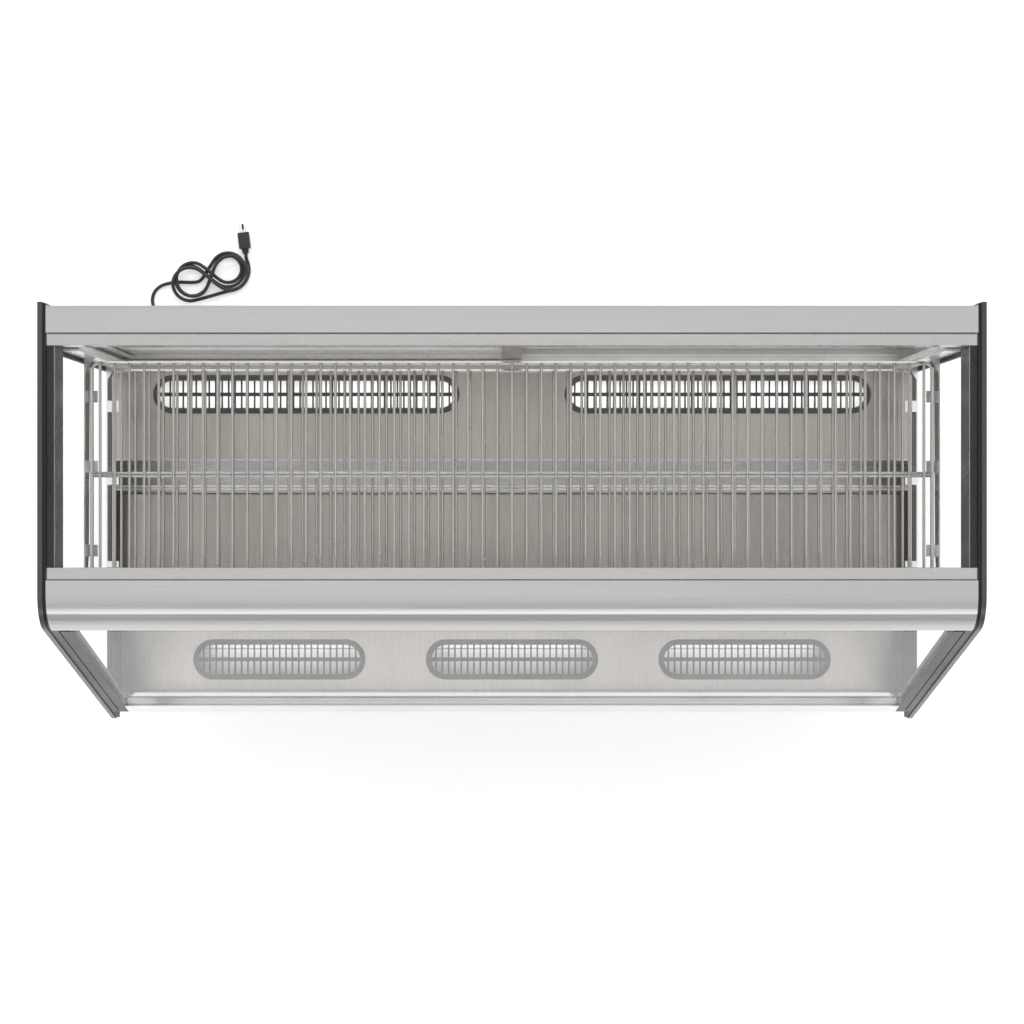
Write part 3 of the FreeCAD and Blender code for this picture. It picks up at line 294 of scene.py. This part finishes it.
def frosted(name, colour):
    """Ribbed translucent lamp cover."""
    look = Shader(name)
    ribs = look.noise((2.0, 700.0, 700.0), 2.0, 0.5)
    look.link(look.mix(look.spread(ribs, 0.0, 1.0), shade(colour, 0.94), colour),
              look.body.inputs["Base Color"])
    look.link(look.spread(ribs, 0.32, 0.5), look.body.inputs["Roughness"])
    look.set(Subsurface_Weight=0.15)
    look.bump(ribs, 0.0001, 0.5)
    return look.material


def floor_material():
    look = Shader("floor_paper")
    mottle = look.noise((3.0, 3.0, 3.0), 3.0, 0.5)
    look.link(look.mix(look.spread(mottle, 0.0, 1.0), (0.93, 0.93, 0.93), (0.95, 0.95, 0.95)),
              look.body.inputs["Base Color"])
    look.set(Roughness=0.9, Emission_Color=(1, 1, 1, 1), Emission_Strength=0.36)
    return look.material


def slot_materials():
    """One finished material for each slot of the record."""
    return {
        "dark_frame": painted("dark_frame", (0.010, 0.010, 0.011), 0.35, specular=0.3),
        "side_trim": brushed_metal("side_trim", (0.090, 0.090, 0.092), 0.30, 1),
        "clear_glass": pane("clear_glass", (0.93, 0.96, 0.95), 0.10, 0.008),
        "front_glass": pane("front_glass", (0.95, 0.96, 0.96), 0.50, 0.02),
        "side_channel": painted("side_channel", (0.026, 0.026, 0.028), 0.28, specular=0.18),
        "black_rubber": moulded("black_rubber", (0.018, 0.018, 0.018), 0.65),
        "rail_aluminium": brushed_metal("rail_aluminium", (0.525, 0.52, 0.512), 0.22, 0, contrast=0.03),
        "track_white": painted("track_white", (0.93, 0.93, 0.92), 0.35, coat=0.2, edge=(0.8, 0.8, 0.8)),
        # Near-white, half-diffuse steel: the whiteness is a painted reflection of the bright surroundings.
        "pilaster_steel_painted_reflection": brushed_metal("pilaster_steel_painted_reflection", (0.93, 0.93, 0.92), 0.25, 2, contrast=0.03,
                                        metallic=0.5),
        "diffuser": frosted("diffuser", (0.93, 0.94, 0.93)),
        "clamp_metal": polished_metal("clamp_metal", (0.72, 0.72, 0.73), 0.14),
        "bright_steel": polished_metal("bright_steel", (0.74, 0.74, 0.74), 0.13),
        "duct_steel": brushed_metal("duct_steel", (0.85, 0.85, 0.84), 0.35, 0, contrast=0.03, metallic=0.4),
        "contact_metal": polished_metal("contact_metal", (0.80, 0.77, 0.70), 0.18, 60.0),
        # The blue tint of this steel is a painted reflection of bluish light.
        "step_steel": brushed_metal("step_steel", (0.76, 0.80, 0.88), 0.26, 0, contrast=0.05),
        "shelf_wire": polished_metal("shelf_wire", (0.52, 0.50, 0.47), 0.20, 6.0, scratches=0.05),
        # Bracket plates' upright faces are near-black: a painted dark reflection; their tops stay bright
        # steel.
        "bracket": polished_metal("bracket", (0.85, 0.85, 0.85), 0.15, sides=(0.03, 0.03, 0.03)),
        "deck_steel": brushed_metal("deck_steel", (0.52, 0.485, 0.45), 0.30, 1, contrast=0.09,
                                    bands=(7.0, 0.5, 7.0)),
        "vent_ring": moulded("vent_ring", (0.035, 0.035, 0.038), 0.45),
        "vent_grille": painted("vent_grille", (0.030, 0.030, 0.031), 0.40, specular=0.4),
        # Near-black liner walls: a painted shade standing in for the steel liner's shaded side walls.
        "dark_liner": painted("dark_liner", (0.010, 0.010, 0.011), 0.45, specular=0.12),
        "tub_steel": galvanised("tub_steel", (0.55, 0.56, 0.57)),
        "tub_skin": galvanised("tub_skin", (0.58, 0.59, 0.60)),
        "coil": brushed_metal("coil", (0.70, 0.71, 0.72), 0.25, 2, grain=0.4),
        "white_panel": painted("white_panel", (0.86, 0.86, 0.85), 0.30, coat=0.4, edge=(0.8, 0.8, 0.8)),
        "motor": painted("motor", (0.05, 0.05, 0.055), 0.45),
        "fan": moulded("fan", (0.03, 0.03, 0.034), 0.5),
        "compressor": painted("compressor", (0.012, 0.012, 0.013), 0.25, coat=0.6),
        "copper": polished_metal("copper", (0.72, 0.38, 0.24), 0.22, 20.0),
        "base_panel": painted("base_panel", (0.022, 0.022, 0.024), 0.42, coat=0.1),
        "foot": moulded("foot", (0.025, 0.025, 0.025), 0.6),
        "black_plastic": moulded("black_plastic", (0.02, 0.02, 0.022), 0.28, 1500.0, 0.00003),
        "cord": moulded("cord", (0.022, 0.022, 0.022), 0.48, 1300.0, 0.00003),
    }


def dress_nodes(materials):
    """Put each node's look on it: its slot's material, or a lighter one of its own."""
    own_looks = {
        "door_track_lower": "track_white",
        "door_jambs": "track_white",
        # The pilasters' lighter look is a painted reflection.
        "pilasters": "pilaster_steel_painted_reflection",
    }
    for sub in frame["record"]["subparts"]:
        mesh = nodes[sub["node"]].data
        mesh.materials.clear()
        mesh.materials.append(materials[own_looks.get(sub["node"], sub["material_slot"])])


# ---- Piece helpers ------------------------------------------------------------------------
def make_piece(name, build, material, body="case", bevel=0.0, smooth=True):
    """Mesh piece from a bmesh-building function."""
    mesh = bpy.data.meshes.new(name)
    bm = bmesh.new()
    build(bm)
    bm.normal_update()
    bm.to_mesh(mesh)
    bm.free()
    if smooth:
        mesh.polygons.foreach_set("use_smooth", [True] * len(mesh.polygons))
        mesh.set_sharp_from_angle(angle=math.radians(35))
    piece = bpy.data.objects.new(name, mesh)
    scene.collection.objects.link(piece)
    mesh.materials.append(material)
    if bevel:
        edge = piece.modifiers.new("edges", "BEVEL")
        edge.width = bevel
        edge.segments = 2
        edge.limit_method = "ANGLE"
    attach(piece, body)
    return piece


def add_floor():
    mesh = bpy.data.meshes.new("floor")
    bm = bmesh.new()
    bmesh.ops.create_grid(bm, x_segments=1, y_segments=1, size=30.0)
    bm.to_mesh(mesh)
    bm.free()
    mesh.materials.append(floor_material())
    floor = bpy.data.objects.new("floor", mesh)
    floor.location.z = -0.0005
    scene.collection.objects.link(floor)


# ---- Cord ---------------------------------------------------------------------------------
CORD_D = 0.0076
LAYER = 0.0078            # height of one cord lying on another
LOW = 0.0046              # height of the line of a cord that lies on the floor
LEAD = [
    (-0.7220, 0.3655, 0.1900), (-0.7225, 0.3920, 0.1880), (-0.7260, 0.4170, 0.1710),
    (-0.7310, 0.4310, 0.1420), (-0.7380, 0.4360, 0.1080), (-0.7460, 0.4370, 0.0740),
    (-0.7550, 0.4410, 0.0440), (-0.7650, 0.4510, 0.0210), (-0.7770, 0.4660, 0.0080),
    (-0.7860, 0.4860, 0.0048), (-0.7820, 0.5080, 0.0046), (-0.7650, 0.5235, 0.0046),
    (-0.7370, 0.5295, 0.0046),
]
AFTER_LEAD = [(-0.716, 0.5295, LOW), (-0.695, 0.5285, LOW), (-0.678, 0.532, LOW)]
BEFORE_PLUG = (-0.5790, 0.5790, 0.0080)
PLUG_END = (-0.5805, 0.5910, 0.0090)
LEFT = Vector((-0.700, 0.534, 0.0))      # middles of the hank's two lobes
RIGHT = Vector((-0.620, 0.556, 0.0))
SMALL = 0.0304            # radii of the turns
LARGE = 0.0384
OUTSIDE = 0.0470
TURN_POINTS = 10          # control points that a lobe's turn is divided into


def ease(t):
    return t * t * (3 - 2 * t)


def lobe(centres, radii, angles, heights, count):
    """Points round one lobe, along which the middle, radius and height go from value to value."""
    points = []
    for i in range(count + 1):
        t = i / count
        step = t * (len(heights) - 1)
        j = min(int(step), len(heights) - 2)
        z = heights[j] + (heights[j + 1] - heights[j]) * ease(step - j)
        r = radii[0] + (radii[1] - radii[0]) * ease(t)
        a = angles[0] + (angles[1] - angles[0]) * t
        points.append(centres[0].lerp(centres[1], t) + Vector((r * math.cos(a), r * math.sin(a), z)))
    return points


def cord_route():
    """The lead, three and a half turns of a loose figure eight, and the tail to the plug."""
    between = RIGHT - LEFT
    heading = math.atan2(between.y, between.x)
    cross = math.asin((SMALL + LARGE) / between.length)
    quarter = math.pi / 2
    right_turn = (heading + cross + quarter, heading - cross - quarter)
    left_turn = (heading + quarter - cross, heading + 3 * quarter + cross)
    left_radius = [SMALL, LARGE, SMALL, OUTSIDE]
    right_radius = [LARGE, SMALL, LARGE]
    up_pass = [LOW, LOW, LOW + 2 * LAYER]
    down_pass = [LOW + LAYER, LOW + LAYER, LOW + 3 * LAYER]
    side = [LOW + LAYER, LOW + 2 * LAYER, LOW + 3 * LAYER]
    slip = [Vector((0, 0, 0)), Vector((0.0010, 0.0015, 0)), Vector((0.0080, -0.0085, 0))]
    points = [Vector(p) for p in LEAD + AFTER_LEAD]
    for k in range(3):
        middle = RIGHT + slip[k]
        points += lobe((middle, middle), (right_radius[k], right_radius[k]), right_turn,
                       (up_pass[k], down_pass[k]), TURN_POINTS)
        if k < 2:
            points += lobe((LEFT + slip[k], LEFT + slip[k + 1]), (left_radius[k], left_radius[k + 1]),
                           left_turn, (down_pass[k], side[k], up_pass[k + 1]), TURN_POINTS)
    shortened = (left_turn[0], heading + 3 * quarter - 0.1)
    points += lobe((LEFT + slip[2], LEFT), (SMALL, OUTSIDE), shortened,
                   (down_pass[2], side[2], LOW + LAYER), TURN_POINTS)
    tail = [math.radians(a) for a in (-95, -65, -38, -12, 12, 30)]
    points += [RIGHT + Vector((OUTSIDE * math.cos(a), OUTSIDE * math.sin(a), LOW)) for a in tail]
    points += [Vector(BEFORE_PLUG), Vector(PLUG_END)]
    return points


def measured_length(curve_object):
    """Length of a curve's own line."""
    data = curve_object.data
    depth = data.bevel_depth
    data.bevel_depth = 0.0
    bpy.context.view_layer.update()
    line = bpy.data.meshes.new_from_object(curve_object)
    data.bevel_depth = depth
    places = [v.co for v in line.vertices]
    total = sum((b - a).length for a, b in zip(places, places[1:]))
    bpy.data.meshes.remove(line)
    return total


def add_cord(materials):
    data = bpy.data.curves.new("power_cord", "CURVE")
    data.dimensions = "3D"
    data.bevel_depth = 1.0
    data.bevel_resolution = 5
    data.use_fill_caps = True
    route = cord_route()
    spline = data.splines.new("NURBS")
    spline.points.add(len(route) - 1)
    for point, place in zip(spline.points, route):
        point.co = (*place, 1.0)
        point.radius = CORD_D / 2
    spline.order_u = 3
    spline.use_endpoint_u = True
    spline.resolution_u = 8
    data.materials.append(materials["cord"])
    cord = bpy.data.objects.new("power_cord", data)
    scene.collection.objects.link(cord)
    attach(cord, "case")
    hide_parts("cord_lead", "cord_hank")
    round(measured_length(cord), 3)


# ---- Added pieces -------------------------------------------------------------------------
RIB_WIRE = 0.0007         # wire radius of the bend guards' ribs
UPRIGHT_RING = Matrix.Rotation(math.radians(90), 4, "X")


def block(bm, low, high):
    """Axis-aligned block between two corners."""
    middle = [(a + b) / 2 for a, b in zip(low, high)]
    made = bmesh.ops.create_cube(bm, size=1.0)["verts"]
    for vert in made:
        vert.co = Vector([m + c * (b - a) for m, c, a, b in zip(middle, vert.co, low, high)])


def add_seals(materials):
    """Black seals in the seams between the top glass and its two rails."""
    low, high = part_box("top_glass")
    width = 0.0026
    depth = 0.0035
    proud = 0.0003
    end_gap = 0.001
    outset = 0.0010

    def build(bm):
        for y in (low.y - outset, high.y + outset):
            block(bm, (low.x + end_gap, y - width / 2, high.z - depth),
                  (high.x - end_gap, y + width / 2, high.z + proud))

    make_piece("top_glass_seals", build, materials["black_rubber"], bevel=0.0004)


def add_channel_highlight_strips(materials):
    """Bright strip along the inner edge of each side channel's top, a painted highlight standing in for the
    light caught on that edge.
    """
    glass_low, glass_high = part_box("top_glass")
    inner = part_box("end_glass")[1].x - 0.0104
    width = 0.0022
    end_gap = 0.021
    top = glass_low.z

    def build(bm):
        for side in (-1, 1):
            x0, x1 = sorted((side * inner, side * (inner + width)))
            block(bm, (x0, glass_low.y + end_gap, top - 0.0006), (x1, glass_high.y - end_gap, top - 0.0001))

    # This strip is a painted highlight along the channel's edge.
    make_piece("side_channel_highlight_strips", build, materials["contact_metal"])


def add_step_facing(materials):
    """Polished strip that covers the slope between the two decks; its steel's blue tint is a painted
    reflection.
    """
    low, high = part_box("rear_deck")
    front_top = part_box("front_deck")[1].z
    edge = high.x - 0.004
    top = Vector((0, high_step_y(), high.z))
    foot = Vector((0, low.y, front_top + 0.004))
    out = Vector((0, -(top.z - foot.z), top.y - foot.y)).normalized() * 0.0008

    def build(bm):
        lip = Vector((0, 0.0015, 0.0008))
        section = [top + lip, top + out, foot + out, foot + out * 0.1, top + Vector((0, 0.0015, 0.0001))]
        rings = [[bm.verts.new(Vector((x, 0, 0)) + p) for p in section] for x in (-edge, edge)]
        count = len(section)
        for i in range(count):
            bm.faces.new((rings[0][i], rings[1][i], rings[1][(i + 1) % count], rings[0][(i + 1) % count]))
        bm.faces.new(rings[0][::-1])
        bm.faces.new(rings[1])

    make_piece("step_facing", build, materials["step_steel"])


def add_duct_floor(materials):
    """Folded sheet on the tub's floor under the front deck, with shallow swages."""
    low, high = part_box("tub_liner")
    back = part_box("fan_panel")[0].y - 0.020
    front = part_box("front_sill")[1].y + 0.012
    edge = high.x - 0.030
    floor_z = low.z + 0.0024
    upstand = 0.018
    swage_high = 0.003
    sheet = 0.0012

    def build(bm):
        rows = [(front, upstand), (front, 0.0)]
        swages = 5
        pitch = (back - front) / (swages + 1)
        for i in range(1, swages + 1):
            y = front + pitch * i
            rows += [(y - 0.009, 0.0), (y - 0.006, swage_high), (y + 0.006, swage_high), (y + 0.009, 0.0)]
        rows += [(back, 0.0), (back, upstand)]
        for side in (0.0, sheet):
            strips = [[bm.verts.new((x, y, floor_z + z + side)) for y, z in rows] for x in (-edge, edge)]
            for i in range(len(rows) - 1):
                bm.faces.new((strips[0][i], strips[1][i], strips[1][i + 1], strips[0][i + 1]))

    make_piece("duct_floor", build, materials["duct_steel"])


def add_end_glass_seals(materials):
    """Black channel round each end pane, between it and the side channel's groove."""
    low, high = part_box("end_glass")
    thick = 0.0012

    def build(bm):
        for side in (-1, 1):
            outer, inner = side * (high.x + thick), side * (high.x - 0.006 - thick)
            x0, x1 = min(outer, inner), max(outer, inner)
            block(bm, (x0, low.y + 0.020, low.z - 0.0005), (x1, high.y - 0.002, low.z + 0.007))
            block(bm, (x0, high.y - 0.006, low.z + 0.007), (x1, high.y + 0.0004, high.z - 0.010))

    make_piece("end_glass_seals", build, materials["black_rubber"], bevel=0.0003)


def add_plug_details(materials):
    """Bright blades over the plug's contacts and a ribbed bend guard round its cord end."""
    start = Vector(PLUG_END)
    turn = Matrix.Translation(start) @ Matrix.Rotation(math.radians(7), 4, "Z")

    def blades(bm):
        for x in (-0.0064, 0.0064):
            block(bm, (x - 0.00095, 0.0462, -0.00135), (x + 0.00095, 0.0632, 0.00535))
        pin = bmesh.ops.create_cone(bm, segments=20, radius1=0.00245, radius2=0.0021, depth=0.0202,
                                    cap_ends=True)
        turn_pin = Matrix.Translation((0, 0.0562, -0.0046)) @ Matrix.Rotation(math.radians(-90), 4, "X")
        bmesh.ops.transform(bm, matrix=turn_pin, verts=pin["verts"])
        bmesh.ops.transform(bm, matrix=turn, verts=bm.verts)

    def ribs(bm):
        for i in range(5):
            place = turn @ Matrix.Translation((0, 0.0016 + 0.0022 * i, 0)) @ UPRIGHT_RING
            ring(bm, 0.0062 + 0.00036 * i, RIB_WIRE, place)

    make_piece("plug_blades", blades, materials["contact_metal"], bevel=0.0002)
    make_piece("plug_guard_ribs", ribs, materials["cord"])


def ring(bm, radius, wire, place, segments=28, sides=8):
    """Torus about local Z."""
    rows = []
    for i in range(segments):
        a = 2 * math.pi * i / segments
        out = Vector((math.cos(a), math.sin(a), 0))
        row = []
        for j in range(sides):
            b = 2 * math.pi * j / sides
            point = out * (radius + wire * math.cos(b)) + Vector((0, 0, wire * math.sin(b)))
            row.append(bm.verts.new(place @ point))
        rows.append(row)
    for i in range(segments):
        for j in range(sides):
            after, beside = rows[(i + 1) % segments], (j + 1) % sides
            bm.faces.new((rows[i][j], after[j], after[beside], rows[i][beside]))


def wire_rod(bm, start, end, radius, sides=8):
    """Straight round rod."""
    start, end = Vector(start), Vector(end)
    made = bmesh.ops.create_cone(bm, segments=sides, radius1=radius, radius2=radius,
                                 depth=(end - start).length, cap_ends=True)
    turn = (end - start).to_track_quat("Z", "Y").to_matrix().to_4x4()
    bmesh.ops.transform(bm, matrix=Matrix.Translation((start + end) / 2) @ turn, verts=made["verts"])


def add_fan_guard(materials):
    """Wire guard in front of the condenser fan's opening."""
    low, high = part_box("condenser_fan")
    middle = (low + high) / 2
    guard_setback = 0.0415
    centre = Vector((middle.x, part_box("condenser_shroud")[0].y + guard_setback, middle.z))
    turn = Matrix.Translation(centre) @ UPRIGHT_RING
    ring_wire = 0.0011
    spokes = 6
    spoke_wire = 0.0014

    def build(bm):
        for radius in (0.035, 0.055, 0.075, 0.095, 0.116):
            ring(bm, radius, ring_wire, turn, 48, 6)
        for i in range(spokes):
            a = math.radians(30) + 2 * math.pi * i / spokes
            out = Vector((math.cos(a), 0, math.sin(a)))
            wire_rod(bm, centre + out * 0.034, centre + out * 0.122, spoke_wire)

    make_piece("condenser_fan_guard", build, materials["bright_steel"])


def add_gland_ribs(materials):
    """Bend guard rings round the strain relief's taper."""
    tip_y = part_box("strain_relief")[1].y - 0.0025
    ribs = 7
    spacing = 0.0225 / (ribs - 1)
    tip_radius = 0.0054
    widening = 0.0023 / (ribs - 1)

    def build(bm):
        for i in range(ribs):
            place = Matrix.Translation((LEAD[0][0], tip_y - spacing * i, LEAD[0][2])) @ UPRIGHT_RING
            ring(bm, tip_radius + widening * i, RIB_WIRE, place)

    make_piece("strain_relief_ribs", build, materials["black_rubber"])


def add_door_seals(materials):
    """Brush seal down each door's meeting stile."""
    from_edge = 0.006
    half_width = 0.002
    foot_gap = 0.012
    head_gap = 0.020
    for name, sign in (("door_left", 1), ("door_right", -1)):
        low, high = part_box(name + "_frame")
        edge = high.x if sign > 0 else low.x
        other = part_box(("door_right" if sign > 0 else "door_left") + "_frame")
        face, far = (high.y, other[0].y) if sign > 0 else (low.y, other[1].y)
        y0, y1 = min(face, far), max(face, far)

        def build(bm):
            x = edge - sign * from_edge
            block(bm, (x - half_width, y0 + 0.0001, low.z + foot_gap),
                  (x + half_width, y1 - 0.0004, high.z - head_gap))

        make_piece(name + "_brush_seal", build, materials["black_rubber"], body=name)


def add_screw_recess_shade(materials):
    """Dark crosses on the outer ends of the small screws: black quads that paint the shade inside their cross
    recesses.
    """
    heads = screw_tops(nodes["screws"].data)
    slot_half_length = 0.0016
    slot_half_width = 0.00035
    lift = 0.00008

    def build(bm):
        for place, out in heads:
            across = Vector((1, 0, 0))
            up = out.cross(across)
            for first, second in ((across, up), (up, across)):
                corners = [first * a * slot_half_length + second * b * slot_half_width
                           for a, b in ((-1, -1), (1, -1), (1, 1), (-1, 1))]
                bm.faces.new([bm.verts.new(place + c + out * lift) for c in corners])

    make_piece("screw_recess_shade", build, materials["black_plastic"], smooth=False)


def screw_tops(mesh):
    """Middle and outward direction of each screw head's flat end, from the loose parts of the mesh."""
    bm = bmesh.new()
    bm.from_mesh(mesh)
    bmesh.ops.remove_doubles(bm, verts=bm.verts, dist=0.00001)
    waiting = set(bm.verts)
    tops = []
    while waiting:
        part = set()
        edge = [waiting.pop()]
        while edge:
            vert = edge.pop()
            part.add(vert)
            for link in vert.link_edges:
                other = link.other_vert(vert)
                if other in waiting:
                    waiting.discard(other)
                    edge.append(other)
        low = Vector([min(v.co[i] for v in part) for i in range(3)])
        high = Vector([max(v.co[i] for v in part) for i in range(3)])
        middle = (low + high) / 2
        size = high - low
        if size.z < size.y:
            tops.append((Vector((middle.x, middle.y, high.z)), Vector((0, 0, 1))))
        else:
            tops.append((Vector((middle.x, high.y, middle.z)), Vector((0, 1, 0))))
    bm.free()
    return tops


def high_step_y():
    """Y of the rear deck's front edge, where its flat top ends."""
    mesh = nodes["rear_deck"].data
    top = max(v.co.z for v in mesh.vertices)
    return min(v.co.y for v in mesh.vertices if v.co.z > top - 0.0005)


add_camera()
add_floor()
add_world()
add_lights()
materials = slot_materials()
add_cord(materials)
dress_nodes(materials)
for add in (add_seals, add_channel_highlight_strips, add_step_facing, add_duct_floor, add_end_glass_seals,
            add_plug_details, add_fan_guard, add_gland_ribs, add_door_seals, add_screw_recess_shade):
    add(materials)
